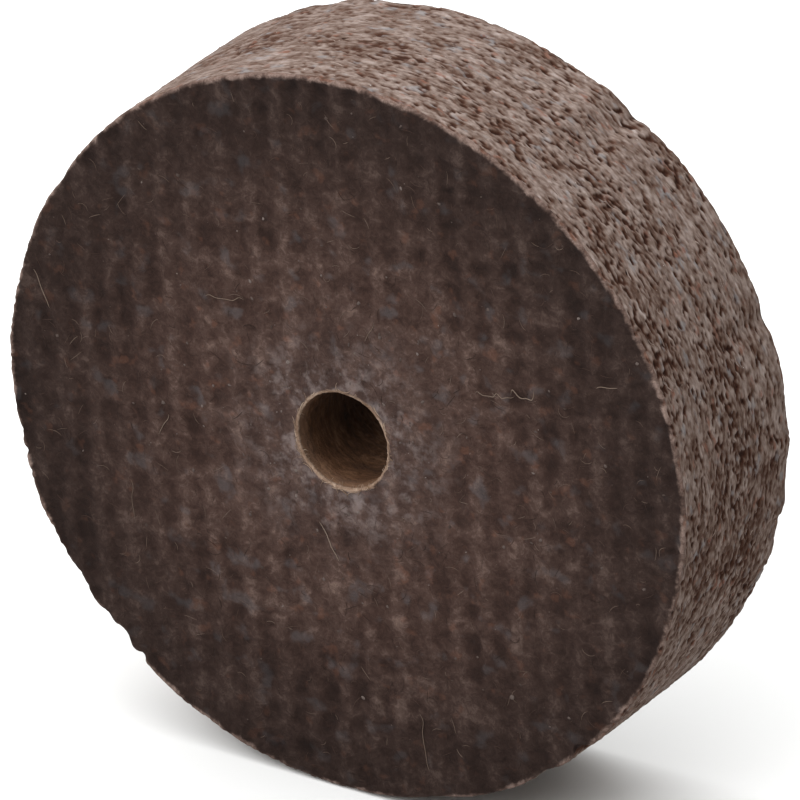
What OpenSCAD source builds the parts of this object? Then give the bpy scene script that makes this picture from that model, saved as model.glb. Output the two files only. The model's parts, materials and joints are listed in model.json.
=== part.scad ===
// Laminated polishing wheel of bonded non-woven fibre.
//
// A stack of fibre web plies is pressed and bonded between two thin, resin-rich face skins, and
// the slab is cut to a disc with a plain hole through its middle. The wheel turns about the Y axis
// and stands on its rim, with +Z up and the origin at its centre. The front face looks along -Y.

/* [Wheel] */
// Outside diameter of the wheel
wheel_d = 75; // [40:5:150]
// Overall thickness, over both face skins
wheel_w = 20; // [10:1:40]
// Small bevel where each face meets the rim
rim_ease = 0.3; // [0.1:0.05:0.3]

/* [Bore] */
// Diameter of the hole for the arbor
bore_d = 10; // [6:1:20]
// How far the mouth of the hole opens out at each face, on the radius
mouth_flare = 0.35; // [0.1:0.05:0.8]
// How deep that opening goes into the face skin
mouth_depth = 0.3; // [0.1:0.05:0.3]

/* [Layers] */
// Number of fibre web plies between the skins
ply_count = 12; // [4:1:24]
// Thickness of the pressed skin on each face
skin_w = 0.4; // [0.4:0.1:1.2]

/* [Colours] */
// Face skins, where the resin is dense and dark
skin_colour = "#453631"; // [#453631, #5a4a42]
// Odd plies
ply_colour = "#7d6b63"; // [#7d6b63, #6f6058]
// Even plies, a little darker so that the layers can be told apart
ply_shade = "#6f5e57"; // [#6f5e57, #5f5049]

/* [Hidden] */
wheel_r = wheel_d / 2;
bore_r = bore_d / 2;
core_w = wheel_w - 2 * skin_w;
ply_w = core_w / ply_count;
cut_margin = 1;
$fn = 180;

// Plies are counted from the front face: web_ply_01, web_ply_02 and so on.
function ply_name(i) = str("web_ply_", i < 10 ? "0" : "", i);
function ply_front(i) = -core_w / 2 + (i - 1) * ply_w;

// Turns a shape built up along Z so that it grows along +Y from the given y
module along_y(y) {
    translate([0, y, 0])
        rotate([-90, 0, 0])
            children();
}

// Half section of a face skin, as radius and height above the fibre core
module skin_section() {
    polygon([
        [bore_r, 0],
        [wheel_r, 0],
        [wheel_r, skin_w - rim_ease],
        [wheel_r - rim_ease, skin_w],
        [bore_r + mouth_flare, skin_w],
        [bore_r, skin_w - mouth_depth]
    ]);
}

// A face skin lying on the core, its outer face up
module face_skin() {
    color(skin_colour)
        rotate_extrude()
            skin_section();
}

module front_face_skin() {
    mirror([0, 1, 0])
        along_y(core_w / 2)
            face_skin();
}

module rear_face_skin() {
    along_y(core_w / 2)
        face_skin();
}

// One ply: a flat ring of fibre web with the arbor hole through it
module web_ply(i) {
    along_y(ply_front(i))
        color(i % 2 == 1 ? ply_colour : ply_shade)
            difference() {
                cylinder(r = wheel_r, h = ply_w);
                translate([0, 0, -cut_margin])
                    cylinder(r = bore_r, h = ply_w + 2 * cut_margin);
            }
}

front_face_skin();
for (i = [1:ply_count]) web_ply(i);
rear_face_skin();
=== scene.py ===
import json
import math

import bpy
import numpy as np
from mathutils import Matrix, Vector


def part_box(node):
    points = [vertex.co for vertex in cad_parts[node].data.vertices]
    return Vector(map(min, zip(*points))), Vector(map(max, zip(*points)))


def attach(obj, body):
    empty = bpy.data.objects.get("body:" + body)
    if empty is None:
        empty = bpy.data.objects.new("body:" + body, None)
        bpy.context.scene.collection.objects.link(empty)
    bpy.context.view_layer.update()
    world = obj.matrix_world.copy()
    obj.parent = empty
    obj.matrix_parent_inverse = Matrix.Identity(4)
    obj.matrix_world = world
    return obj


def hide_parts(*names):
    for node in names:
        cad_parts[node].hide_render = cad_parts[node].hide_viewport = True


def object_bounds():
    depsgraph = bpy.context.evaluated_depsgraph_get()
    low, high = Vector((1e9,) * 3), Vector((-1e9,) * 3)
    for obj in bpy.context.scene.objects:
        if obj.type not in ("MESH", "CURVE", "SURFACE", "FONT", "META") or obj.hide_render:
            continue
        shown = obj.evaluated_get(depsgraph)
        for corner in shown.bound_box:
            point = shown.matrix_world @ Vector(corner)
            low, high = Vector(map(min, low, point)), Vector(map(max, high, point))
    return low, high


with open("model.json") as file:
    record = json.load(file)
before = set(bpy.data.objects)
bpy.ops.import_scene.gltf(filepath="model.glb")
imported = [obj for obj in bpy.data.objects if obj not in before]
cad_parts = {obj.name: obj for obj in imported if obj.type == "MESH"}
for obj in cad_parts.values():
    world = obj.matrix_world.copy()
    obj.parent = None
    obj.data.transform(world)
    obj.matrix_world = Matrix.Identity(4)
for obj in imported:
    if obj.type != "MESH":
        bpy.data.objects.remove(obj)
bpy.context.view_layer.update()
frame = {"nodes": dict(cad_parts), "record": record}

# Sizes of the wheel in metres, read from the frame. The wheel turns about Y and stands on its rim.
mm = 0.001
skinLow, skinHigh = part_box("front_face_skin")
wheelRadius = skinHigh.x
halfWidth = -skinLow.y
coreHalf = -skinHigh.y
plyNames = sorted(name for name in frame["nodes"] if name.startswith("web_ply"))
plyThick = 2 * coreHalf / len(plyNames)
boreMount = next(m for m in frame["record"]["mounts"] if m["kind"] == "bore")
boreRadius = boreMount["dims"]["r_mm"] * mm
print("wheel radius, half width, bore radius:", wheelRadius, halfWidth, boreRadius)


# Blurs a map by a bell curve of the given spreads in cells: its waves, from a Fourier transform, are
# each cut down to exp(-2π² * ((spread0 * wave0)² + (spread1 * wave1)²)). Both directions join up.
def blurMap(field, blur):
    waves0 = np.fft.fftfreq(field.shape[0])[:, None]
    waves1 = np.fft.rfftfreq(field.shape[1])[None, :]
    fall = np.exp(-2 * math.pi**2 * ((blur[0] * waves0) ** 2 + (blur[1] * waves1) ** 2))
    return np.fft.irfft2(np.fft.rfft2(field) * fall, s=field.shape)


# Smooth random surface: blurred white noise, brought to a mean of 0 and a spread of 1
def softNoise(shape, blur, seed):
    field = blurMap(np.random.default_rng(seed).standard_normal(shape), blur)
    return (field - field.mean()) / field.std()


# Reads a map at places given in cells, as a blend of the four nearest cells. The first direction
# runs round and joins up, and the second holds its end values.
def readMap(field, first, second):
    n0, n1 = field.shape
    second = np.clip(second, 0, n1 - 1.001)
    i0 = np.floor(first).astype(int)
    j0 = np.floor(second).astype(int)
    f, g = first - i0, second - j0
    i0, i1 = i0 % n0, (i0 + 1) % n0
    return ((field[i0, j0] * (1 - g) + field[i0, j0 + 1] * g) * (1 - f)
            + (field[i1, j0] * (1 - g) + field[i1, j0 + 1] * g) * f)


# Goes smoothly from 0 at low to 1 at high: 3t² − 2t³
def smoothStep(low, high, value):
    t = np.clip((value - low) / (high - low), 0, 1)
    return t * t * (3 - 2 * t)


# Degrees from one angle to another the short way round, for angles in radians and degrees
def degreesOff(angle, centre):
    return (np.degrees(angle) - centre + 180) % 360 - 180


# places across a fibre, from -1 to 1, where its round back is drawn
fibreLines = np.linspace(-0.9, 0.9, 7)


# Lays bowed fibres with round backs on a flat map and keeps the highest one at each cell. They sag
# into the pores that the sink map gives as 0 to 1, apart from a few that bridge them.
# Height = top - sag + radius * (sqrt(1 - side²) - 1), with side from -1 to 1 across the fibre.
# Height and the fibre's number share one whole number, so that the highest also says which fibre it
# is: (height in millimetres + 4) * 4096, then 16 bits for the number.
def layFibres(shape, cell, look, sink, seed):
    rng = np.random.default_rng(seed)
    count = look["count"]
    steps = int(look["length"][1] / cell)
    place0 = rng.uniform(0, shape[0], count)
    place1 = rng.uniform(0, shape[1], count)
    stride = rng.uniform(*look["length"], count) / cell / steps
    lean = rng.normal(0, look["lean"], count)
    bow = rng.normal(0, look["bow"], count)
    radius = rng.uniform(*look["radius"], count)
    top = -look["buried"] * rng.uniform(0, 1, count) ** 0.8
    sag = look["sunkBy"] * (rng.uniform(0, 1, count) > look["bridging"])
    turn = np.linspace(-0.5, 0.5, steps)
    heading = lean[:, None] + bow[:, None] * turn
    path0 = place0[:, None] + np.cumsum(np.cos(heading), 1) * stride[:, None]
    path1 = place1[:, None] + np.cumsum(np.sin(heading), 1) * stride[:, None]
    crown = top[:, None] - sag[:, None] * readMap(sink, path0, path1)
    best = np.full(shape[0] * shape[1], -1, np.int64)
    number = np.arange(count)[:, None]
    for side in fibreLines:
        offset = side * radius[:, None] / cell
        cell0 = np.rint(path0 - np.sin(heading) * offset).astype(int) % shape[0]
        cell1 = np.rint(path1 + np.cos(heading) * offset).astype(int)
        inside = (cell1 >= 0) & (cell1 < shape[1])
        height = crown + radius[:, None] * (math.sqrt(1 - side * side) - 1)
        key = (np.rint((height / mm + 4) * 4096).astype(int) << 16) + number
        np.maximum.at(best, (cell0 * shape[1] + cell1)[inside], key[inside])
    best = best.reshape(shape)
    covered = best >= 0
    height = np.where(covered, ((best >> 16) / 4096 - 4) * mm, -1.0)
    tone = rng.uniform(0, 1, count)[np.where(covered, best & 65535, 0)]
    return height, np.where(covered, tone, 0.5)


# The cut surface of the pressed web, as a map over a strip of this length round and this width:
# a resin-bound ground with long pores, a layer of fibres over it and cut fibre ends between. The
# tone is a share of each fibre's own, plus streaks that several fibres share, less a share of the
# pores, which paints shade round them so that it darkens there.
def makeWebMap(length, width, look, seed):
    cell = look["cell"]
    shape = (int(length / cell), int(width / cell))

    def noise(name, number):
        return softNoise(shape, [size / cell for size in look[name]], seed + number)

    across = (np.arange(shape[1]) + 0.5) * cell - width / 2
    pores = noise("poreSize", 0) + look["patchShare"] * noise("patchSize", 1)
    pores = pores + look["seamShare"] * np.cos(2 * math.pi * across / plyThick)
    pores = pores / pores.std()
    hollow = smoothStep(*look["poreRange"], pores)
    ground = look["groundRise"] * noise("grainSize", 2) - look["groundDepth"] - look["poreDepth"] * hollow
    fibres, tone = layFibres(shape, cell, look["fibres"], hollow, seed + 3)
    ends, endTone = layFibres(shape, cell, look["ends"], hollow, seed + 4)
    tone = np.where(ends > fibres, endTone, tone)
    fibres = np.maximum(fibres, ends)
    tone = np.where(fibres > ground, tone, look["groundTone"])
    soften = (look["soften"] / cell,) * 2
    tone = 0.5 + look["fibreShare"] * (blurMap(tone, soften) - 0.5)
    tone = tone + look["streakShare"] * noise("streakSize", 5)
    # painted shade: the tone darkens round the pores
    tone = tone - look["shadeShare"] * np.clip(pores, -1.5, 2.0)
    height = blurMap(np.maximum(ground, fibres), soften)
    height = height - np.quantile(height, look["levelShare"])
    return {"cell": cell, "width": width, "height": height, "tone": tone}


# Reads one layer of a web map at angles in radians and distances from the middle plane in metres
def readWeb(web, layer, angle, y):
    n0 = web[layer].shape[0]
    return readMap(web[layer], angle / (2 * math.pi) * n0, (y + web["width"] / 2) / web["cell"] - 0.5)


# Sizes are pairs: round the wheel, then across it. Shares say how much a part counts.
rimLook = {
    "cell": 0.05 * mm,
    "poreSize": (0.205 * mm, 0.088 * mm),
    "poreDepth": 0.27 * mm,
    "poreRange": (0.05, 1.80),
    "patchSize": (3.5 * mm, 1.4 * mm),
    "patchShare": 0.36,
    "seamShare": 0.08,
    "streakSize": (0.20 * mm, 0.10 * mm),
    "streakShare": 0.11,
    "shadeShare": 0.17,
    "fibreShare": 0.65,
    "groundTone": 0.30,
    "groundDepth": 0.08 * mm,
    "groundRise": 0.030 * mm,
    "grainSize": (0.22 * mm, 0.09 * mm),
    "soften": 0.065 * mm,
    "levelShare": 0.70,
    "fibres": {"count": 6500, "length": (0.4 * mm, 1.7 * mm), "lean": 0.24, "bow": 0.25,
               "radius": (0.045 * mm, 0.08 * mm), "buried": 0.13 * mm, "sunkBy": 0.25 * mm, "bridging": 0.12},
    "ends": {"count": 15000, "length": (0.05 * mm, 0.22 * mm), "lean": 0.9, "bow": 0.1,
             "radius": (0.05 * mm, 0.09 * mm), "buried": 0.12 * mm, "sunkBy": 0.25 * mm, "bridging": 0.06},
}
boreLook = dict(
    rimLook, poreDepth=0.20 * mm, poreSize=(0.12 * mm, 0.12 * mm), soften=0.05 * mm,
    streakSize=(0.3 * mm, 0.3 * mm),
    fibres=dict(rimLook["fibres"], count=500, lean=1.6, sunkBy=0.2 * mm, length=(0.4 * mm, 1.4 * mm)),
    ends=dict(rimLook["ends"], count=1600, sunkBy=0.2 * mm))
rimWeb = makeWebMap(2 * math.pi * wheelRadius, 2 * halfWidth, rimLook, 11)
boreWeb = makeWebMap(2 * math.pi * boreRadius, 2 * halfWidth, boreLook, 23)
print("web maps made:", rimWeb["height"].shape, boreWeb["height"].shape)

# How the cut rim strays from a true circle. Dents and rises are bell curves, each with its angle and
# reach in degrees from +X towards +Z, its depth in millimetres inwards, and its spread along the
# axis, where 1 is half the wheel's width.
outlineLook = {
    "rise": 0.17 * mm,
    "lumps": 0.05 * mm,
    "lumpSize": (1.5 * mm, 2.2 * mm),
    "lumpCell": 0.5 * mm,
    # where the rim is rubbed smoother, and where its right side, just below the middle, is painted darker as
    # shade: angle, reach, share
    "worn": (112, 30, 0.40),
    "paintedShade": (-9, 9, 0.18),
    # dents from the front face's edge
    "frontDents": [
        (142, 9.0, 0.12, 0.40), (148, 2.2, 0.26, 0.30), (164, 6.0, 0.14, 0.40), (193, 0.9, 0.24, 0.30),
        (196, 0.7, 0.34, 0.30), (217, 2.6, 0.36, 0.30), (224, 1.5, 0.46, 0.25), (227.7, 1.9, 0.80, 0.30),
        (232, 1.0, 0.52, 0.25), (286, 4.5, 0.36, 0.40), (307, 2.2, 0.40, 0.35), (179, 5.0, -0.26, 0.50),
        (205, 6.0, -0.30, 0.50), (240, 5.0, -0.14, 0.50), (254, 5.0, -0.10, 0.50),
    ],
    # dents from the rear face's edge
    "rearDents": [
        (20, 42.0, -0.09, 0.60), (-17, 3.0, -0.12, 0.40), (-13, 1.6, 0.08, 0.35), (21.5, 1.7, 0.40, 0.35),
        (56.7, 1.3, 0.36, 0.45), (70, 4.0, 0.08, 0.40), (97.5, 4.0, 0.32, 0.35), (-42, 8.0, -0.24, 0.50),
        (-8, 2.4, -0.22, 0.40), (2, 2.4, -0.30, 0.40), (13, 5.0, -0.28, 0.40), (49, 6.0, -0.24, 0.45),
        (62, 2.5, -0.32, 0.45), (80, 5.0, -0.12, 0.45), (110.5, 2.0, 0.24, 0.45), (119.5, 3.0, 0.20, 0.45),
    ],
    # a torn-out spot on the front edge, painted dark inside as shade, and its place along the axis
    "pit": (-44.8, 1.5, 0.75, 0.06),
    "pitSide": -0.97,
}
lumpShape = (int(2 * math.pi * wheelRadius / outlineLook["lumpCell"]),
             int(2 * halfWidth / outlineLook["lumpCell"]) * 2)
lumpMap = softNoise(lumpShape, [size / outlineLook["lumpCell"] for size in outlineLook["lumpSize"]], 31)


# A dent's share of its depth: exp(-(angle off / reach)²) * exp(-((place - side) / spread / 2)²),
# where the place along the axis runs from -1 at the front face to 1 at the rear
def bellOf(centre, reach, spread, side, angle, place):
    return np.exp(-((degreesOff(angle, centre) / reach) ** 2) - ((place - side) / spread / 2) ** 2)


# How much a mark that runs over the whole width, given as (angle, reach, share), counts here
def markShare(mark, angle, y):
    centre, reach, share = mark
    return share * bellOf(centre, reach, 2.0, 0, angle, y / halfWidth)


# How far a place on the rim is inside the pit, from 0 to 1
def pitShare(angle, y):
    centre, reach, _, spread = outlineLook["pit"]
    return bellOf(centre, reach, spread, outlineLook["pitSide"], angle, np.clip(y / halfWidth, -1, 1))


# Distance of the rim's mean surface from the true circle, outwards: a rise and soft lumps, less
# each dent's depth times its bell and the pit's
def rimOutline(angle, y):
    look = outlineLook
    place = np.clip(y / halfWidth, -1, 1)
    lumps = readMap(lumpMap, angle / (2 * math.pi) * lumpShape[0], (y + halfWidth) / look["lumpCell"])
    out = look["rise"] + look["lumps"] * lumps
    for side, dents in ((-1, look["frontDents"]), (1, look["rearDents"])):
        for centre, reach, depth, spread in dents:
            out = out - depth * mm * bellOf(centre, reach, spread, side, angle, place)
    return out - look["pit"][2] * mm * pitShare(angle, y)


# Places on a ring: angle, distance from the axis and place along it, as points in the wheel's frame
def ringPoints(angle, radius, y):
    y = np.broadcast_to(y, angle.shape)
    return np.stack([radius * np.cos(angle), y, radius * np.sin(angle)], 1)


def ringAngles(count):
    return np.arange(count) * (2 * math.pi / count)


# Faces over a closed row of rings that may differ in their number of points, with the last ring
# joined to the first. Equal rings are joined by four-sided faces, and others by triangles, taken in
# the order of their edges' middles.
def joinRings(counts):
    starts = np.concatenate([[0], np.cumsum(counts)])[:-1]
    quads, triangles = [], []
    for a in range(len(counts)):
        b = (a + 1) % len(counts)
        na, nb = counts[a], counts[b]
        i, j = np.arange(na), np.arange(nb)
        nextA, nextB = starts[a] + (i + 1) % na, starts[b] + (j + 1) % nb
        if na == nb:
            quads.append(np.stack([starts[a] + i, nextA, nextB, starts[b] + j], 1))
            continue
        nearB = -((na - (2 * i + 1) * nb) // (2 * na))
        nearA = ((2 * j + 1) * na + nb) // (2 * nb)
        triangles.append(np.stack([starts[a] + i, nextA, starts[b] + nearB % nb], 1))
        triangles.append(np.stack([nextB, starts[b] + j, starts[a] + nearA % na], 1))
    return quads, triangles


# Puts points, faces and named values into a new mesh object. The faces marked flat aren't smoothed.
def makePiece(name, points, faceSets, values, flat=None):
    mesh = bpy.data.meshes.new(name)
    corners = np.concatenate([faces.ravel() for faces in faceSets])
    sizes = np.concatenate([np.full(len(faces), faces.shape[1]) for faces in faceSets])
    mesh.vertices.add(len(points))
    mesh.vertices.foreach_set("co", points.astype(np.float32).ravel())
    mesh.loops.add(len(corners))
    mesh.loops.foreach_set("vertex_index", corners.astype(np.int32))
    mesh.polygons.add(len(sizes))
    mesh.polygons.foreach_set("loop_start", (np.cumsum(sizes) - sizes).astype(np.int32))
    smooth = np.ones(len(sizes), bool) if flat is None else ~flat
    mesh.polygons.foreach_set("use_smooth", smooth)
    for key, value in values.items():
        layer = mesh.attributes.new(key, "FLOAT", "POINT")
        layer.data.foreach_set("value", np.asarray(value, np.float32))
    mesh.update(calc_edges=True)
    mesh.validate()
    piece = bpy.data.objects.new(name, mesh)
    bpy.context.scene.collection.objects.link(piece)
    return piece


# One closed skin from rings: each ring is (points, {value name: array}). The strips of triangles
# between rings far apart are its flat sides.
def makeRingPiece(name, rings):
    quads, triangles = joinRings([len(points) for points, _ in rings])
    points = np.concatenate([ring[0] for ring in rings])
    values = {key: np.concatenate([ring[1][key] for ring in rings]) for key in rings[0][1]}
    flat = [np.zeros(len(faces), bool) for faces in quads]
    flat += [np.full(len(faces), isWide(points, faces)) for faces in triangles]
    return makePiece(name, points, quads + triangles, values, np.concatenate(flat))


# True where a strip of triangles spans more than a tenth of the wheel's radius
def isWide(points, faces):
    span = np.linalg.norm(points[faces[0, 0]] - points[faces[0, 2]])
    return bool(span > wheelRadius / 10)


plyLook = {
    "around": 2700,
    "rows": 18,
    "boreAround": 300,
    "boreRows": 18,
    "boreRelief": 0.45,
    # the height where a pore's colour and its painted shade start, and how much deeper they are full
    "shadeFrom": 0.10 * mm,
    "shadeOver": 0.42 * mm,
}


# The values that the finishes read at each point of a ring: how deep in a pore, how pale, whether
# it is on the bore's wall, and how deep in the press cloth's imprint
def ringValues(count, sunk=0.0, tone=0.5, cut=0.0, imprint=0.0):
    values = {"sunk": sunk, "tone": tone, "cut": cut, "imprint": imprint}
    return {key: np.broadcast_to(value, count) for key, value in values.items()}


# Depth below the mean surface as 0 to 1, for the colour of pores and their painted shade
def sunkShare(height):
    return np.clip((plyLook["shadeFrom"] - height) / plyLook["shadeOver"], 0, 1)


# A ring of the rim at one place along the axis: circle + outline + web relief
def rimRing(y, count, relief=1.0, drop=0.0):
    angle = ringAngles(count)
    at = np.full(count, y)
    rough = 1 - markShare(outlineLook["worn"], angle, at)
    height = readWeb(rimWeb, "height", angle, at) * relief * rough
    radius = wheelRadius + rimOutline(angle, at) + height - drop
    # the pit counts as fully sunk, so the pores' colour paints shade into it
    sunk = np.maximum(sunkShare(height), pitShare(angle, at))
    tone = 0.5 + (readWeb(rimWeb, "tone", angle, at) - 0.5) * rough
    # painted shade: the tone is darkened on the rim's right side, where the light falls least
    tone = tone - markShare(outlineLook["paintedShade"], angle, at)
    return ringPoints(angle, radius, y), ringValues(count, sunk, tone)


# A ring of the bore's wall, with its web relief turned inwards. Its distance is the base's less a
# share of the relief, and the share also counts for the colour of its pores.
def boreRing(y, count, base=boreRadius, share=1.0):
    angle = ringAngles(count)
    at = np.full(count, y)
    height = readWeb(boreWeb, "height", angle, at)
    tone = readWeb(boreWeb, "tone", angle, at)
    radius = base - plyLook["boreRelief"] * height * share
    return ringPoints(angle, radius, y), ringValues(count, sunkShare(height) * share, tone, 1.0)


# One ply of web: rim rows from its rear side to its front side, then bore rows back again
def makePly(name, number):
    look = plyLook
    front = -coreHalf + number * plyThick
    rear = front + plyThick
    rings = [rimRing(y, look["around"]) for y in np.linspace(rear, front, look["rows"] + 1)]
    rings += [boreRing(y, look["boreAround"]) for y in np.linspace(front, rear, look["boreRows"] + 1)]
    return makeRingPiece(name, rings)


skinLook = {
    "around": 2400,
    "wallRows": 3,
    "wallRelief": 0.75,
    "roll": 0.30 * mm,
    "rollRows": 4,
    # shares of the web's relief at the start and the end of the rolled edge
    "rollRelief": (0.90, 0.35),
    "spacing": 0.262 * mm,
    "lipFlare": 0.36 * mm,
    "lipSwell": 0.10 * mm,
    "lipRows": 4,
    "boreAround": 300,
    # the mouth's ragged outline, and its widest fray: angle in degrees, reach, depth
    "ragged": (0.06 * mm, 0.03 * mm),
    "fray": (48, 20, 0.30 * mm),
    "frayFade": 1.5 * mm,
    "pitch": 3.35 * mm,
    "columnLean": math.radians(4),
    "rowRise": math.radians(8),
    "dimpleDepth": 0.18 * mm,
    "fine": 0.022 * mm,
    "warp": (0.20 * mm, 0.25 * mm),
    # how far from the rim and the bore the imprint is full, and its share at both
    "rimFade": 1.2 * mm,
    "boreFade": 1.5 * mm,
    "leastRelief": 0.35,
    # how far in from the edge the face's rings follow the rim's outline
    "follow": 6 * mm,
}
# Soft maps over each face, with the blur of each in cells
mapBlurs = {"warp0": (30, 14), "warp1": (11, 22), "strong": (24, 24), "fine": (1.8, 1.8), "mid": (6, 6)}
faceCell = 0.1 * mm
faceReach = 1.1 * wheelRadius
faceShape = (int(2 * faceReach / faceCell),) * 2
faceMaps = {side: {name: softNoise(faceShape, blur, seed + number)
                   for number, (name, blur) in enumerate(mapBlurs.items(), 1)}
            for side, seed in ((-1, 41), (1, 61))}


# Imprint of the press cloth on a face. u and v count the cloth's pitches across its columns and
# rows; a dimple is the product of two raised cosines, and its depth drifts over the face.
# Returns the height outwards and the share of dimple from 0 to 1.
def faceRelief(side, x, z):
    look = skinLook
    maps = faceMaps[side]
    place0 = (x + faceReach) / faceCell
    place1 = (z + faceReach) / faceCell
    wx = x + look["warp"][0] * readMap(maps["warp0"], place0, place1)
    wz = z + look["warp"][1] * readMap(maps["warp1"], place0, place1)
    lean, rise = look["columnLean"], look["rowRise"]
    scale = math.cos(lean - rise) * look["pitch"]
    u = (wx * math.cos(lean) + wz * math.sin(lean)) / scale
    v = (wz * math.cos(rise) - wx * math.sin(rise)) / scale
    across = 0.5 + 0.5 * np.cos(2 * math.pi * u)
    along = 0.5 + 0.5 * np.cos(2 * math.pi * v)
    rows = np.clip(0.50 + 0.15 * readMap(maps["strong"], place1, place0), 0.1, 0.9)
    dimple = smoothStep(0.0, 0.9, across) * (1 - rows + rows * smoothStep(0.0, 0.8, along))
    dimple = dimple * np.clip(0.68 + 0.20 * readMap(maps["strong"], place0, place1), 0.2, 1.2)
    fine = readMap(maps["fine"], place0, place1) + 1.3 * readMap(maps["mid"], place0, place1)
    return look["fine"] * fine - look["dimpleDepth"] * dimple, dimple


# A ring of a face skin's outer face. The relief fades towards the rim and the bore.
def faceRing(side, radius, count):
    look = skinLook
    angle = ringAngles(count)
    height, dimple = faceRelief(side, radius * np.cos(angle), radius * np.sin(angle))
    mean = np.mean(radius)
    fade = smoothStep(0, look["rimFade"], wheelRadius - mean)
    fade = fade * smoothStep(0, look["boreFade"], mean - boreRadius)
    least = look["leastRelief"]
    y = side * (halfWidth + height * (least + (1 - least) * fade))
    return ringPoints(angle, radius, y), ringValues(count, imprint=dimple)


# How much wider than round the mouth of the bore is frayed, by angle: small waves and a bell curve
def lipFray(side, angle):
    wide, small = skinLook["ragged"]
    centre, reach, depth = skinLook["fray"]
    ragged = wide * np.sin(7 * angle + side) * np.sin(3 * angle) + small * np.sin(17 * angle + side)
    return ragged + depth * np.exp(-((degreesOff(angle, centre) / reach) ** 2))


# A face skin for the front (side -1). Rings run from the core up the rim, over its rolled edge,
# inwards over the face, and down the lip into the bore; the last strip closes it against the core.
# The rear skin is the same taken the other way round. Rings on the face stand √3/2 of their
# points' spacing apart, so that the triangles are even.
def makeSkin(name, side):
    look = skinLook
    count = look["around"]
    edgeY = halfWidth - look["roll"]
    rings = [rimRing(side * y, count, look["wallRelief"])
             for y in np.linspace(coreHalf, edgeY, look["wallRows"], endpoint=False)]
    for share in np.linspace(0, 1, look["rollRows"] + 1):
        turn = math.pi / 2 * share
        y = side * (edgeY + look["roll"] * math.sin(turn))
        first, last = look["rollRelief"]
        relief = first + (last - first) * share
        points, values = rimRing(y, count, relief, look["roll"] * (1 - math.cos(turn)))
        # the pit stays fully sunk over the rolled edge, for its painted shade
        values["sunk"] = np.maximum(values["sunk"] * (1 - share), pitShare(ringAngles(count), y))
        rings.append((points, values))
    outer = wheelRadius - look["roll"]
    inner = boreRadius + look["lipFlare"]
    steps = int((outer - inner) / (look["spacing"] * 0.87))
    for radius in np.linspace(outer, inner, steps + 1)[1:]:
        number = int(2 * math.pi * radius / look["spacing"])
        angle = ringAngles(number)
        outline = rimOutline(angle, np.full(number, side * halfWidth))
        outline = outline * smoothStep(wheelRadius - look["follow"], outer, radius)
        fray = lipFray(side, angle) * (1 - smoothStep(inner, inner + look["frayFade"], radius))
        rings.append(faceRing(side, radius + outline + fray, number))
    fray = lipFray(side, ringAngles(look["boreAround"]))
    for share in np.linspace(0, 1, look["lipRows"] + 1)[1:]:
        turn = math.pi / 2 * share
        inward = math.sin(turn)
        base = inner - look["lipFlare"] * inward + fray * (1 - inward) - look["lipSwell"] * math.sin(2 * turn)
        y = side * (halfWidth - (halfWidth - coreHalf) * (1 - math.cos(turn)))
        rings.append(boreRing(y, look["boreAround"], base, inward))
    if side > 0:
        rings.reverse()
    return makeRingPiece(name, rings)


plies = []
for number, node in enumerate(plyNames):
    piece = makePly("webPly%02d" % (number + 1), number)
    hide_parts(node)
    plies.append(piece)
print("plies made:", len(plies), "with", len(plies[0].data.polygons), "faces each")
skins = []
for side, name, node in ((-1, "frontFaceSkin", "front_face_skin"), (1, "rearFaceSkin", "rear_face_skin")):
    piece = makeSkin(name, side)
    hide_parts(node)
    skins.append(piece)
print("face skins made, with", len(skins[0].data.polygons), "faces each")


# Round strands along given centre lines, each a tube of four sides with closed ends. Centre lines
# are (strand, step, 3) and radii (strand, step). Each ring stands square to the line's direction:
# point = line + radius * (cos a * side + sin a * up).
def makeStrands(name, lines, radii, tones):
    count, steps, _ = lines.shape
    way = np.gradient(lines, axis=1)
    way /= np.linalg.norm(way, axis=2, keepdims=True)
    # a direction that hardly any strand runs along
    guide = np.array([0.31, 0.87, 0.38])
    sideways = np.cross(way, guide)
    sideways /= np.linalg.norm(sideways, axis=2, keepdims=True)
    upward = np.cross(way, sideways)
    turn = np.arange(4)[:, None] * (math.pi / 2)
    ring = np.cos(turn) * sideways[:, :, None] + np.sin(turn) * upward[:, :, None]
    points = (lines[:, :, None] + radii[:, :, None, None] * ring).reshape(-1, 3)
    first = (np.arange(count) * steps * 4)[:, None, None]
    step = (np.arange(steps - 1) * 4)[None, :, None]
    corner = np.arange(4)[None, None]
    after = (corner + 1) % 4
    walls = np.stack([first + step + corner, first + step + after,
                      first + step + 4 + after, first + step + 4 + corner], 3).reshape(-1, 4)
    heads = first[:, 0] + np.array([3, 2, 1, 0])
    tails = first[:, 0] + (steps - 1) * 4 + np.array([0, 1, 2, 3])
    return makePiece(name, points, [walls, heads, tails], {"tone": np.repeat(tones, steps * 4)})


strandLook = {
    "rim": {"count": 450, "steps": 7, "length": (0.5 * mm, 1.6 * mm), "radius": (0.035 * mm, 0.065 * mm),
            "lean": 0.26, "bow": 0.3, "lift": 0.06 * mm, "sink": 0.05 * mm, "seed": 71},
    "face": {"count": 900, "steps": 8, "length": (0.4 * mm, 1.8 * mm), "radius": (0.018 * mm, 0.034 * mm),
             "bow": 0.6, "rest": 0.010 * mm, "seed": 81},
    "lip": {"count": 150, "steps": 7, "length": (0.6 * mm, 1.8 * mm), "radius": (0.022 * mm, 0.045 * mm),
            "lean": 0.5, "bow": 1.2, "lift": 0.14 * mm, "inside": 0.25 * mm, "seed": 91},
}


# Thickness along a strand: 1 - share * |2 turn|^power, with turn from -0.5 to 0.5 along it
def taper(turn, share, power):
    return 1 - share * np.abs(2 * turn) ** power


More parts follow.
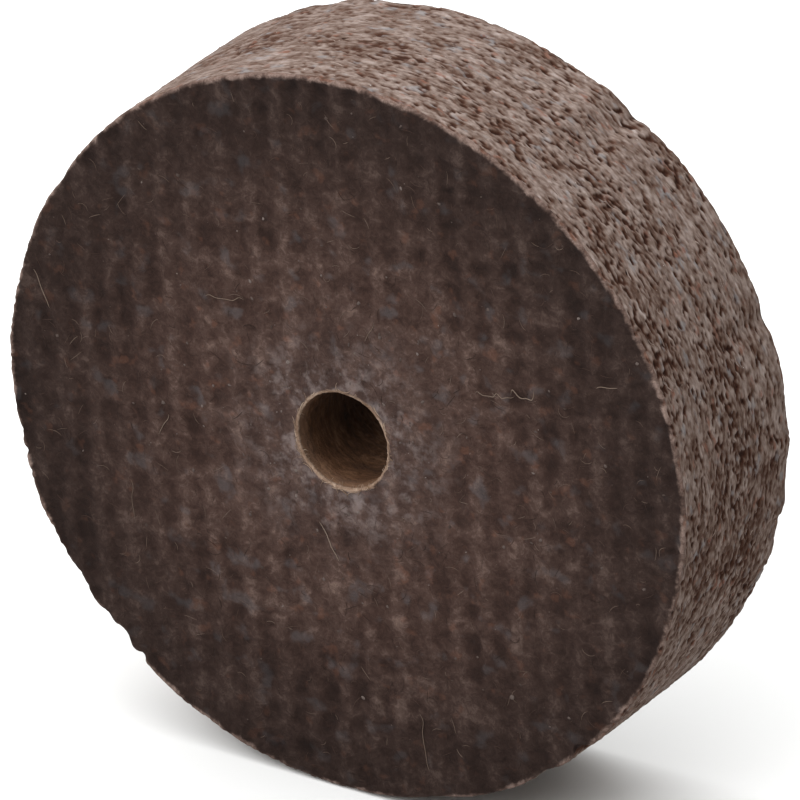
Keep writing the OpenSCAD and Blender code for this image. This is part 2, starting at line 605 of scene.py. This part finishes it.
# Loose fibres on the cut rim: bowed lines over the unrolled rim, wrapped round the wheel, that lie
# on its surface and lift a little at their ends
def makeRimStrands(name):
    look = strandLook["rim"]
    rng = np.random.default_rng(look["seed"])
    count = look["count"]
    turn = np.linspace(-0.5, 0.5, look["steps"])
    length = rng.uniform(*look["length"], count)[:, None]
    heading = rng.normal(0, look["lean"], count)[:, None] + rng.normal(0, look["bow"], count)[:, None] * turn
    along = rng.uniform(0, 2 * math.pi * wheelRadius, count)[:, None] + length * turn * np.cos(heading)
    inset = coreHalf - 0.2 * mm
    y = rng.uniform(-inset, inset, count)[:, None] + length * turn * np.sin(heading)
    y = np.clip(y, -halfWidth + 0.1 * mm, halfWidth - 0.1 * mm)
    angle = along / wheelRadius
    radius = rng.uniform(*look["radius"], count)[:, None] * taper(turn, 0.75, 6)
    ground = readWeb(rimWeb, "height", angle, y)
    ground = np.maximum(ground, np.median(ground, 1, keepdims=True) - look["sink"])
    lift = rng.uniform(0, 1, count)[:, None] ** 4 * look["lift"] * np.abs(2 * turn) ** 3
    distance = wheelRadius + rimOutline(angle, y) + ground + lift
    lines = np.stack([distance * np.cos(angle), y, distance * np.sin(angle)], 2)
    return makeStrands(name, lines, radius, rng.uniform(0, 1, count))


# Fine fibres pressed into a face: bowed lines in any direction that follow the imprint's relief
def makeFaceStrands(name, side):
    look = strandLook["face"]
    rng = np.random.default_rng(look["seed"] + side)
    count = look["count"]
    turn = np.linspace(-0.5, 0.5, look["steps"])
    length = rng.uniform(*look["length"], count)[:, None]
    heading = rng.uniform(0, math.pi, count)[:, None] + rng.normal(0, look["bow"], count)[:, None] * turn
    away = np.sqrt(rng.uniform(((boreRadius + 1.5 * mm) / wheelRadius) ** 2, 0.93, count)) * wheelRadius
    bearing = rng.uniform(0, 2 * math.pi, count)
    x = (away * np.cos(bearing))[:, None] + length * turn * np.cos(heading)
    z = (away * np.sin(bearing))[:, None] + length * turn * np.sin(heading)
    height, _ = faceRelief(side, x, z)
    radius = rng.uniform(*look["radius"], count)[:, None] * taper(turn, 0.8, 4)
    lines = np.stack([x, side * (halfWidth + height + look["rest"]), z], 2)
    return makeStrands(name, lines, radius, rng.uniform(0, 1, count))


# Longer stray fibres that lie on the front face. Each runs from one place to another, in
# millimetres across and up: x, z, x, z. It swings in so many waves of a height in millimetres, and
# the last two values are its radius in millimetres and its tone.
strayLook = {
    "steps": 26,
    "rest": 0.03 * mm,
    "sink": 0.06 * mm,
    "strays": [
        (-2.6, -9.35, -0.25, -13.0, 0.5, 0.08, 0.055, 0.92),
        (14.8, 8.9, 19.0, 9.6, 2.2, 0.22, 0.050, 0.75),
        (18.7, 9.7, 21.4, 10.5, 1.2, 0.55, 0.060, 0.80),
        (28.0, 12.8, 30.3, 13.5, 0.6, 0.12, 0.050, 0.78),
        (-34.9, 9.6, -33.0, 5.9, 0.8, 0.10, 0.045, 0.85),
        (-15.3, 11.6, -11.0, 12.3, 1.4, 0.18, 0.045, 0.70),
        (-19.6, -2.2, -20.6, -4.6, 0.7, 0.12, 0.042, 0.80),
        (8.7, -27.2, 9.9, -33.2, 1.1, 0.22, 0.040, 0.70),
        (-24.0, -10.4, -23.4, -14.6, 0.8, 0.20, 0.035, 0.60),
        (3.6, 13.6, 2.6, 11.2, 0.6, 0.12, 0.035, 0.65),
    ],
}


def makeStrayFibres(name, side):
    look = strayLook
    turn = np.linspace(0, 1, look["steps"])
    x0, z0, x1, z1, waves, wave, radius, tone = np.array(look["strays"]).T[:, :, None]
    runX, runZ = (x1 - x0) * mm, (z1 - z0) * mm
    run = np.hypot(runX, runZ)
    swing = wave * mm * np.sin(2 * math.pi * waves * turn + 1.3 * np.sin(5 * turn * waves))
    x = x0 * mm + runX * turn - runZ / run * swing
    z = z0 * mm + runZ * turn + runX / run * swing
    height = np.maximum(faceRelief(side, x, z)[0], -look["sink"])
    lines = np.stack([x, side * (halfWidth + height + look["rest"]), z], 2)
    return makeStrands(name, lines, radius * mm * taper(turn - 0.5, 0.8, 6), tone[:, 0])


# Short whiskers round the mouth of the bore, some lying over the lip and some standing inwards
def makeLipStrands(name, side):
    look = strandLook["lip"]
    rng = np.random.default_rng(look["seed"] + side)
    count = look["count"]
    turn = np.linspace(-0.5, 0.5, look["steps"])
    reach = rng.uniform(*look["length"], count)[:, None] * turn
    angle0 = rng.uniform(0, 2 * math.pi, count)
    heading = rng.normal(0, look["lean"], count)[:, None] + rng.normal(0, look["bow"], count)[:, None] * turn
    mouth = (boreRadius + skinLook["lipFlare"] * 0.75 + lipFray(side, angle0))[:, None]
    distance = mouth + reach * np.sin(heading)
    angle = angle0[:, None] + reach * np.cos(heading) / mouth
    inward = np.clip(mouth - distance, 0, None)
    lift = 0.01 * mm + look["lift"] * rng.uniform(-1, 0.4, count)[:, None]
    y = side * (halfWidth + lift - inward * 0.9)
    distance = np.maximum(distance, boreRadius - look["inside"])
    radius = rng.uniform(*look["radius"], count)[:, None] * taper(turn, 0.8, 4)
    lines = np.stack([distance * np.cos(angle), y, distance * np.sin(angle)], 2)
    return makeStrands(name, lines, radius, rng.uniform(0, 1, count))


fleckLook = {
    "count": 420,
    "size": (0.06 * mm, 0.32 * mm),
    "around": 6,
    # each ring of a fleck's dome: its share of the size across, and its height as a share of it
    "levels": [(1.0, -0.25), (0.75, 0.13), (0.3, 0.22)],
    "gather": 6.5 * mm,
    "spread": 0.4,
    # bare strips beside the bore and the rim
    "fromBore": 0.9 * mm,
    "fromRim": 0.8 * mm,
    # flecks of their own: x, z and size in millimetres
    "specks": [(-18.3, 23.7, 0.30), (10.7, 27.8, 0.28), (-8.8, 21.4, 0.25), (16.1, 18.0, 0.28),
               (-32.2, 3.1, 0.28)],
}


# Flecks of dust and grit on a face: low domes with a ragged outline, in rings closed by a flat
# base. Most lie near the bore, at a distance drawn from a falling curve, and a share anywhere.
def makeFlecks(name, side):
    look = fleckLook
    rng = np.random.default_rng(101 + side)
    count, around = look["count"], look["around"]
    away = boreRadius + look["fromBore"] + np.abs(rng.normal(0, 1, count)) * look["gather"]
    anywhere = rng.uniform(0, 1, count) < look["spread"]
    away = np.where(anywhere, np.sqrt(rng.uniform(0.05, 0.95, count)) * wheelRadius, away)
    away = np.clip(away, boreRadius + look["fromBore"], wheelRadius - look["fromRim"])
    bearing = rng.uniform(0, 2 * math.pi, count)
    size = look["size"][0] + (look["size"][1] - look["size"][0]) * rng.uniform(0, 1, count) ** 3
    x0, z0 = away * np.cos(bearing), away * np.sin(bearing)
    named = np.array(look["specks"]) * mm
    x0[:len(named)], z0[:len(named)], size[:len(named)] = named.T
    x0, z0, size = x0[:, None, None], z0[:, None, None], size[:, None, None]
    spin = ringAngles(around)
    ragged = rng.uniform(0.65, 1.2, (count, 1, around))
    squash = rng.uniform(0.45, 1.0, (count, 1, 1))
    level, rise = np.array(look["levels"]).T[:, None, :, None]
    lean = rng.uniform(0, math.pi, (count, 1, 1))
    u = size * ragged * level * np.cos(spin)
    w = size * ragged * level * np.sin(spin) * squash
    x = x0 + u * np.cos(lean) - w * np.sin(lean)
    z = z0 + u * np.sin(lean) + w * np.cos(lean)
    height, _ = faceRelief(side, x0, z0)
    y = side * (halfWidth + height + np.broadcast_to(size * rise, x.shape))
    points = np.stack([x, y, z], 3).reshape(-1, 3)
    per = len(look["levels"]) * around
    corner = np.arange(around)
    after = (corner + 1) % around
    walls = np.concatenate([np.stack([k + corner, k + after, k + around + after, k + around + corner], 1)
                            for k in range(0, per - around, around)])
    ends = np.stack([corner[::-1], per - around + corner])
    if side > 0:
        walls, ends = walls[:, ::-1], ends[:, ::-1]
    shift = (np.arange(count) * per)[:, None, None]
    faces = [(shift + walls).reshape(-1, 4), (shift + ends).reshape(-1, around)]
    return makePiece(name, points, faces, {"tone": np.repeat(rng.uniform(0, 1, count), per)})


# every loose piece with its finish
loose = [(makeRimStrands("rimFibres"), "rimFibre"),
         (makeFaceStrands("frontFaceFibres", -1), "faceFibre"),
         (makeLipStrands("frontLipFibres", -1), "lipFibre"),
         (makeFaceStrands("rearFaceFibres", 1), "faceFibre"),
         (makeLipStrands("rearLipFibres", 1), "lipFibre"),
         (makeStrayFibres("frontStrayFibres", -1), "strayFibre"),
         (makeFlecks("frontDustFlecks", -1), "dustFleck"),
         (makeFlecks("rearDustFlecks", 1), "dustFleck")]
for piece in plies + skins + [piece for piece, finish in loose]:
    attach(piece, "root")
print("loose fibres and flecks made")


# Feeds a socket from another one, or sets it to a plain value. A plain colour gets its opacity here.
def feed(tree, socket, value):
    if isinstance(value, bpy.types.NodeSocket):
        tree.links.new(value, socket)
    elif isinstance(value, tuple) and socket.type == "RGBA":
        socket.default_value = (*value, 1)
    else:
        socket.default_value = value


# A shader node with its settings and input values in one call
def addNode(tree, kind, settings=None, inputs=None):
    node = tree.nodes.new(kind)
    for key, value in (settings or {}).items():
        setattr(node, key, value)
    for key, value in (inputs or {}).items():
        feed(tree, node.inputs[key], value)
    return node


# One number worked out from others by a Math node
def addMath(tree, operation, *values):
    return addNode(tree, "ShaderNodeMath", {"operation": operation}, dict(enumerate(values))).outputs[0]


# A vector, or its length as the output Value, worked out from others by a Vector Math node
def addVector(tree, operation, *values):
    return addNode(tree, "ShaderNodeVectorMath", {"operation": operation}, dict(enumerate(values))).outputs


# base + value * weight
def addScaled(tree, base, value, weight):
    return addMath(tree, "ADD", base, addMath(tree, "MULTIPLY", value, weight))


# A start value plus weighted values, each counted from its middle of 0.5
def addSum(tree, start, *parts):
    total = start
    for value, weight in parts:
        total = addScaled(tree, total, addMath(tree, "SUBTRACT", value, 0.5), weight)
    return total


# Blends colour a into colour b by a share, each a socket or a plain colour
def addMix(tree, share, a, b, blend="MIX"):
    settings = {"data_type": "RGBA", "blend_type": blend, "clamp_factor": True}
    return addNode(tree, "ShaderNodeMix", settings, {0: share, 6: a, 7: b}).outputs[2]


# Blends a colour towards a tint by mask * share
def addTint(tree, colour, mask, share, tint):
    return addMix(tree, addMath(tree, "MULTIPLY", mask, share), colour, tint)


# A colour read from stops of (place, colour) by a value from 0 to 1
def addRamp(tree, value, stops):
    node = addNode(tree, "ShaderNodeValToRGB", inputs={"Fac": value})
    points = node.color_ramp.elements
    while len(points) < len(stops):
        points.new(0.5)
    for point, (at, colour) in zip(points, stops):
        point.position = at
        point.color = (*colour, 1)
    return node.outputs["Color"]


# Goes smoothly from 0 where a value is at the range's start to 1 at its end
def addRange(tree, value, ends):
    return addNode(tree, "ShaderNodeMapRange", {"interpolation_type": "SMOOTHSTEP"},
                   {"Value": value, "From Min": ends[0], "From Max": ends[1]}).outputs["Result"]


def addNoise(tree, place, scale, detail, roughness=0.5, distortion=0.0):
    return addNode(tree, "ShaderNodeTexNoise", inputs={
        "Vector": place, "Scale": scale, "Detail": detail, "Roughness": roughness,
        "Distortion": distortion}).outputs[0]


# A new node group with float sockets beside its Place input. The Place comes back squeezed along
# the wheel's axis, because the fibres lie in the plane of the web.
def newGroup(name, inputs, outputs):
    tree = bpy.data.node_groups.new(name, "ShaderNodeTree")
    tree.interface.new_socket("Place", in_out="INPUT", socket_type="NodeSocketVector")
    for key, value in inputs.items():
        socket = tree.interface.new_socket(key, in_out="INPUT", socket_type="NodeSocketFloat")
        socket.default_value = value
    for key in outputs:
        tree.interface.new_socket(key, in_out="OUTPUT", socket_type="NodeSocketFloat")
    given = tree.nodes.new("NodeGroupInput").outputs
    put = tree.nodes.new("NodeGroupOutput").inputs
    squeeze = addNode(tree, "ShaderNodeCombineXYZ", inputs={"X": 1.0, "Y": given["Flatness"], "Z": 1.0})
    return tree, given, put, addVector(tree, "MULTIPLY", given["Place"], squeeze.outputs[0])[0]


# Fine fibre haze for every finish. A strand is where a noise crosses its middle value:
# 1 - |n - 0.5| / width. Grain, mottle and clumps are ever coarser noises.
def makeFibreHaze():
    tree, given, put, flat = newGroup(
        "fibreHaze", {"Fineness": 1500.0, "Flatness": 3.0, "Width": 0.16},
        ["Strands", "Grain", "Mottle", "Clumps"])
    fineness = given["Fineness"]
    thick = addNoise(tree, flat, fineness, 3.0, 0.55, 0.9)
    ridge = addMath(tree, "ABSOLUTE", addMath(tree, "SUBTRACT", thick, 0.5))
    strands = addMath(tree, "SUBTRACT", 1.0, addMath(tree, "DIVIDE", ridge, given["Width"]))
    feed(tree, put["Strands"], addMath(tree, "MAXIMUM", strands, 0.0))
    feed(tree, put["Grain"], addNoise(tree, flat, addMath(tree, "MULTIPLY", fineness, 2.3), 4.0, 0.7))
    feed(tree, put["Mottle"],
         addNoise(tree, flat, addMath(tree, "MULTIPLY", fineness, 0.75), 4.0, 0.62, 0.5))
    feed(tree, put["Clumps"], addNoise(tree, flat, addMath(tree, "MULTIPLY", fineness, 0.22), 3.0))
    return tree


# Patches of colour that the mixed fibres make: cool grey, rusty, and small pale glints. Each is
# the high part of its own noise: how far to move it, times finer, and the range that shows.
def makeColourDrift():
    patches = {"Cool": (3.1, 1.0, (0.58, 0.72)), "Rusty": (7.7, 1.5, (0.60, 0.74)),
               "Glints": (1.3, 6.0, (0.73, 0.80))}
    tree, given, put, flat = newGroup("colourDrift", {"Fineness": 420.0, "Flatness": 2.0}, patches)
    for name, (move, times, ends) in patches.items():
        moved = addVector(tree, "ADD", flat, (move,) * 3)[0]
        spots = addNoise(tree, moved, addMath(tree, "MULTIPLY", given["Fineness"], times), 2.5)
        feed(tree, put[name], addRange(tree, spots, ends))
    return tree


fibreHaze = makeFibreHaze()
colourDrift = makeColourDrift()


# A group at work in a material, with its inputs by name
def addGroup(tree, group, inputs):
    return addNode(tree, "ShaderNodeGroup", {"node_tree": group}, inputs).outputs


def newMaterial(name):
    material = bpy.data.materials.new(name)
    material.use_nodes = True
    tree = material.node_tree
    shader = tree.nodes["Principled BSDF"]
    shader.inputs["Specular IOR Level"].default_value = 0.10
    place = addNode(tree, "ShaderNodeTexCoord").outputs["Object"]
    return material, tree, shader.inputs, place


def readValue(tree, name):
    return addNode(tree, "ShaderNodeAttribute", {"attribute_name": name}).outputs["Fac"]


# Distance from the wheel's axis as a share of its radius
def addReach(tree, place):
    flat = addVector(tree, "MULTIPLY", place, (1, 0, 1))[0]
    return addMath(tree, "DIVIDE", addVector(tree, "LENGTH", flat)["Value"], wheelRadius)


# Feeds a material's finish: its colour, its roughness, and the relief that its light shows
def setFinish(tree, finish, colour, roughness, relief=None, depth=0.0, strength=0.0):
    feed(tree, finish["Base Color"], colour)
    feed(tree, finish["Roughness"], roughness)
    if relief is not None:
        inputs = {"Height": relief, "Distance": depth, "Strength": strength}
        feed(tree, finish["Normal"], addNode(tree, "ShaderNodeBump", inputs=inputs).outputs[0])


webFinish = {
    # stops of the fibres' colour, from the darkest to the palest
    "fibres": [(0.0, (0.036, 0.015, 0.009)), (0.25, (0.074, 0.043, 0.031)), (0.5, (0.140, 0.100, 0.083)),
               (0.75, (0.210, 0.163, 0.143)), (1.0, (0.285, 0.236, 0.214))],
    # the pores' colour: red-brown ground near the top, then painted shade that darkens it to near black
    # deeper down
    "pores": [(0.0, (0.090, 0.052, 0.037)), (0.5, (0.045, 0.018, 0.010)), (1.0, (0.015, 0.005, 0.003))],
    # how far down the pores' colour and painted shade start and are full
    "poreRange": (0.25, 0.68),
    # tints over the fibres: colour and share
    "tints": {"Cool": ((0.178, 0.180, 0.188), 0.50), "Rusty": ((0.150, 0.056, 0.034), 0.60),
              "Glints": ((0.62, 0.60, 0.57), 0.55)},
    # the bore wall's colour: the web's red-brown, kept darker than the rim as painted shade inside the hole
    "bore": [(0.0, (0.022, 0.011, 0.006)), (0.5, (0.062, 0.028, 0.013)), (1.0, (0.135, 0.072, 0.038))],
    # painted light where the bore's mouths catch the lamps
    "paintedMouthLight": (0.215, 0.125, 0.080),
    # how far out along the bore the painted light at its mouth starts and is full, as shares of the half
    # width
    "mouthRange": (0.72, 0.98),
    "mouthShare": 0.45,
    "roughness": 0.84,
    "bump": 0.045 * mm,
}


# Bonded fibre web: taupe fibres of mixed tone over a red-brown ground, painted darker as shade deeper in the
# pores
def makeWebMaterial():
    look = webFinish
    material, tree, finish, place = newMaterial("fibreWeb")
    haze = addGroup(tree, fibreHaze, {"Place": place, "Fineness": 1500.0, "Flatness": 2.4, "Width": 0.10})
    drift = addGroup(tree, colourDrift, {"Place": place, "Fineness": 470.0, "Flatness": 1.8})
    sunk, tone, cut = [readValue(tree, name) for name in ("sunk", "tone", "cut")]
    shade = addSum(tree, 0.495, (tone, 0.66), (haze["Mottle"], 0.55), (haze["Grain"], 0.26),
                   (haze["Clumps"], 1.0))
    colour = addRamp(tree, shade, look["fibres"])
    for name, (tint, share) in look["tints"].items():
        colour = addTint(tree, colour, drift[name], share, tint)
    # painted shade: the pores' colour grows darker with depth
    colour = addMix(tree, addRange(tree, sunk, look["poreRange"]), colour, addRamp(tree, sunk, look["pores"]))
    # the bore's wall: painted shade deep inside, painted light towards its mouths
    wallShade = addSum(tree, 0.40, (haze["Clumps"], 1.4), (haze["Mottle"], 1.2), (sunk, -0.3))
    wall = addRamp(tree, wallShade, look["bore"])
    along = addNode(tree, "ShaderNodeSeparateXYZ", inputs={0: place}).outputs["Y"]
    out = addMath(tree, "DIVIDE", addMath(tree, "ABSOLUTE", along), halfWidth)
    wall = addTint(tree, wall, addRange(tree, out, look["mouthRange"]), look["mouthShare"], look["paintedMouthLight"])
    rough = addScaled(tree, look["roughness"], haze["Grain"], 0.14)
    relief = addMath(tree, "ADD", haze["Strands"], haze["Grain"])
    setFinish(tree, finish, addMix(tree, cut, colour, wall), rough, relief, look["bump"], 0.7)
    return material


skinFinish = {
    # stops of the pressed face's colour, from the bottom of a dimple to the palest fibre
    "face": [(0.0, (0.010, 0.0047, 0.0035)), (0.3, (0.019, 0.0095, 0.0071)), (0.5, (0.0300, 0.0158, 0.0120)),
             (0.7, (0.047, 0.0272, 0.0215)), (1.0, (0.110, 0.0730, 0.0600))],
    # tints over the face: colour and share
    "tints": {"Rusty": ((0.120, 0.052, 0.032), 0.30), "Cool": ((0.085, 0.084, 0.090), 0.25)},
    "dust": (0.150, 0.120, 0.114),
    # distances from the axis, as shares of the radius: the dust's end and full strength, then where
    # the face starts to darken towards the rim and is darkest
    "dustRange": (0.42, 0.13),
    "dimRange": (0.36, 1.0),
    "dimShare": 0.55,
    # the cut edge's colour, and the distance where it starts and is full
    "edge": [(0.0, (0.036, 0.020, 0.015)), (0.5, (0.090, 0.058, 0.047)), (1.0, (0.200, 0.145, 0.124))],
    "edgeRange": (1.006, 1.020),
    "edgePore": (0.120, 0.052, 0.032),
    # the near-black painted shade inside the torn-out pit
    "pit": (0.008, 0.0035, 0.0025),
    "lip": [(0.0, (0.085, 0.045, 0.022)), (0.5, (0.165, 0.108, 0.076)), (1.0, (0.330, 0.245, 0.185))],
    "roughness": 0.72,
    "bump": 0.045 * mm,
}


# Pressed face skin: dark resin with a haze of paler fibres, paler on the imprint's ridges, dusted
# with grey round the bore and darker towards the rim, by 1 - share * rise over the distance. Its
# cut edge and the bore's lip are lighter.
def makeSkinMaterial():
    look = skinFinish
    material, tree, finish, place = newMaterial("faceSkin")
    haze = addGroup(tree, fibreHaze, {"Place": place, "Fineness": 1000.0, "Flatness": 1.0, "Width": 0.06})
    fuzz = addGroup(tree, fibreHaze, {"Place": place, "Fineness": 2100.0, "Flatness": 1.0, "Width": 0.10})
    drift = addGroup(tree, colourDrift, {"Place": place, "Fineness": 420.0, "Flatness": 1.0})
    imprint, cut, sunk = [readValue(tree, name) for name in ("imprint", "cut", "sunk")]
    reach = addReach(tree, place)
    shade = addSum(tree, 0.50, (haze["Mottle"], 0.95), (fuzz["Mottle"], 0.40), (haze["Clumps"], 0.55),
                   (imprint, -0.26))
    colour = addRamp(tree, addScaled(tree, shade, haze["Strands"], 0.10), look["face"])
    for name, (tint, share) in look["tints"].items():
        colour = addTint(tree, colour, drift[name], share, tint)
    near = addRange(tree, reach, look["dustRange"])
    blots = addNoise(tree, place, 950.0, 3.0, 0.58)
    patches = addRange(tree, addSum(tree, 0.5, (blots, 1.0), (haze["Clumps"], 0.6)), (0.44, 0.80))
    colour = addTint(tree, colour, near, addScaled(tree, 0.04, patches, 0.66), look["dust"])
    colour = addTint(tree, colour, drift["Glints"], addScaled(tree, 0.15, near, 0.5), look["dust"])
    dim = addScaled(tree, 1.0, addRange(tree, reach, look["dimRange"]), -look["dimShare"])
    colour = addMix(tree, 1.0, colour, dim, "MULTIPLY")
    edge = addRange(tree, addScaled(tree, reach, haze["Mottle"], 0.030), look["edgeRange"])
    grained = addSum(tree, 0.50, (fuzz["Grain"], 1.0), (haze["Mottle"], 1.6))
    colour = addMix(tree, edge, colour, addRamp(tree, addMath(tree, "ADD", grained, 0.05), look["edge"]))
    colour = addTint(tree, colour, edge, addRange(tree, sunk, (0.15, 0.70)), look["edgePore"])
    # painted shade: the deep pores and the pit go near black
    colour = addMix(tree, addRange(tree, sunk, (0.45, 0.85)), colour, look["pit"])
    colour = addMix(tree, cut, colour, addRamp(tree, grained, look["lip"]))
    rough = addScaled(tree, look["roughness"], fuzz["Grain"], 0.25)
    relief = addScaled(tree, haze["Strands"], fuzz["Grain"], 1.2)
    setFinish(tree, finish, colour, rough, relief, look["bump"], 0.8)
    return material


# Each kind of loose fibre or fleck: its darkest, usual and palest colour
looseFinish = {
    "rimFibre": [(0.095, 0.060, 0.046), (0.165, 0.120, 0.101), (0.240, 0.186, 0.162)],
    "faceFibre": [(0.014, 0.008, 0.006), (0.040, 0.024, 0.019), (0.105, 0.076, 0.060)],
    "lipFibre": [(0.090, 0.055, 0.037), (0.160, 0.108, 0.078), (0.300, 0.225, 0.170)],
    "strayFibre": [(0.060, 0.042, 0.032), (0.100, 0.072, 0.055), (0.150, 0.114, 0.090)],
    "dustFleck": [(0.035, 0.024, 0.020), (0.065, 0.049, 0.043), (0.120, 0.097, 0.088)],
}


# Loose fibres and flecks, each with its own tone and a fine grain along it
def makeLooseMaterial(name, dark, usual, pale):
    material, tree, finish, place = newMaterial(name)
    haze = addGroup(tree, fibreHaze, {"Place": place, "Fineness": 2200.0, "Flatness": 1.0, "Width": 0.1})
    shade = addSum(tree, readValue(tree, "tone"), (haze["Grain"], 0.5))
    colour = addMix(tree, addRange(tree, shade, (0.0, 0.55)), dark, usual)
    colour = addMix(tree, addRange(tree, shade, (0.60, 1.05)), colour, pale)
    setFinish(tree, finish, colour, addScaled(tree, 0.80, haze["Grain"], 0.2))
    return material


webMaterial = makeWebMaterial()
skinMaterial = makeSkinMaterial()
looseMaterials = {name: makeLooseMaterial(name, *colours) for name, colours in looseFinish.items()}
for piece in plies:
    piece.data.materials.append(webMaterial)
for piece in skins:
    piece.data.materials.append(skinMaterial)
for piece, finish in loose:
    piece.data.materials.append(looseMaterials[finish])
print("finishes made")

stageLook = {
    "floorSize": 6.0,
    "floorColour": (0.64, 0.635, 0.625),
    "world": (1.0, 0.965, 0.91),
    "worldStrength": 0.26,
    # the camera's distance counts in wheel radii
    "camera": {"azimuth": 30.99, "elevation": 26.57, "distance": 30.84, "lens": 540.0, "sensor": 36.0,
               "shiftX": 0.0053, "shiftY": 0.0013},
    "lamps": [
        {"name": "topSoftbox", "azimuth": -50, "elevation": 78, "distance": 0.9, "size": 1.9,
         "power": 35.5, "colour": (0.96, 0.98, 1.0)},
        {"name": "frontSoftbox", "azimuth": -20, "elevation": 30, "distance": 0.8, "size": 0.6,
         "power": 4.2, "colour": (1, 1, 1)},
        {"name": "rearSoftbox", "azimuth": 190, "elevation": 25, "distance": 0.9, "size": 0.8,
         "power": 4.0, "colour": (1, 1, 1)},
    ],
}


# A direction from the wheel's centre: azimuth 0 is in front of it, along -Y, and 90 is along +X
def lookFrom(azimuth, elevation):
    a, e = math.radians(azimuth), math.radians(elevation)
    return Vector((math.sin(a) * math.cos(e), -math.cos(a) * math.cos(e), math.sin(e)))


# Stands a lamp or camera in a direction from the wheel's centre, turned towards it
def aim(name, data, way, distance):
    holder = bpy.data.objects.new(name, data)
    holder.location = way * distance
    holder.rotation_euler = (-way).to_track_quat("-Z", "Y").to_euler()
    bpy.context.scene.collection.objects.link(holder)
    return holder


# The floor under the wheel, the soft light of the room, and the lamps
def makeStage():
    look = stageLook
    low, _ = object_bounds()
    half = look["floorSize"] / 2
    corners = [(-half, -half, low.z), (half, -half, low.z), (half, half, low.z), (-half, half, low.z)]
    mesh = bpy.data.meshes.new("studioFloor")
    mesh.from_pydata(corners, [], [(0, 1, 2, 3)])
    floor = bpy.data.objects.new("studioFloor", mesh)
    bpy.context.scene.collection.objects.link(floor)
    material, tree, finish, place = newMaterial("paleFloor")
    setFinish(tree, finish, look["floorColour"], 0.9)
    mesh.materials.append(material)
    world = bpy.data.worlds.new("softStudio")
    world.use_nodes = True
    sky = world.node_tree.nodes["Background"].inputs
    feed(world.node_tree, sky["Color"], look["world"])
    feed(world.node_tree, sky["Strength"], look["worldStrength"])
    bpy.context.scene.world = world
    for lamp in look["lamps"]:
        light = bpy.data.lights.new(lamp["name"], "AREA")
        light.size = lamp["size"]
        light.energy = lamp["power"]
        light.color = lamp["colour"]
        place = lookFrom(lamp["azimuth"], lamp["elevation"])
        aim(lamp["name"], light, place, lamp["distance"])


def makeCamera():
    look = stageLook["camera"]
    camera = bpy.data.cameras.new("camera")
    camera.lens = look["lens"]
    camera.sensor_width = look["sensor"]
    camera.shift_x = look["shiftX"]
    camera.shift_y = look["shiftY"]
    camera.clip_start = 0.05
    camera.clip_end = 20
    way = lookFrom(look["azimuth"], look["elevation"])
    bpy.context.scene.camera = aim("camera", camera, way, look["distance"] * wheelRadius)


makeStage()
makeCamera()
bpy.context.scene.view_settings.view_transform = "Standard"
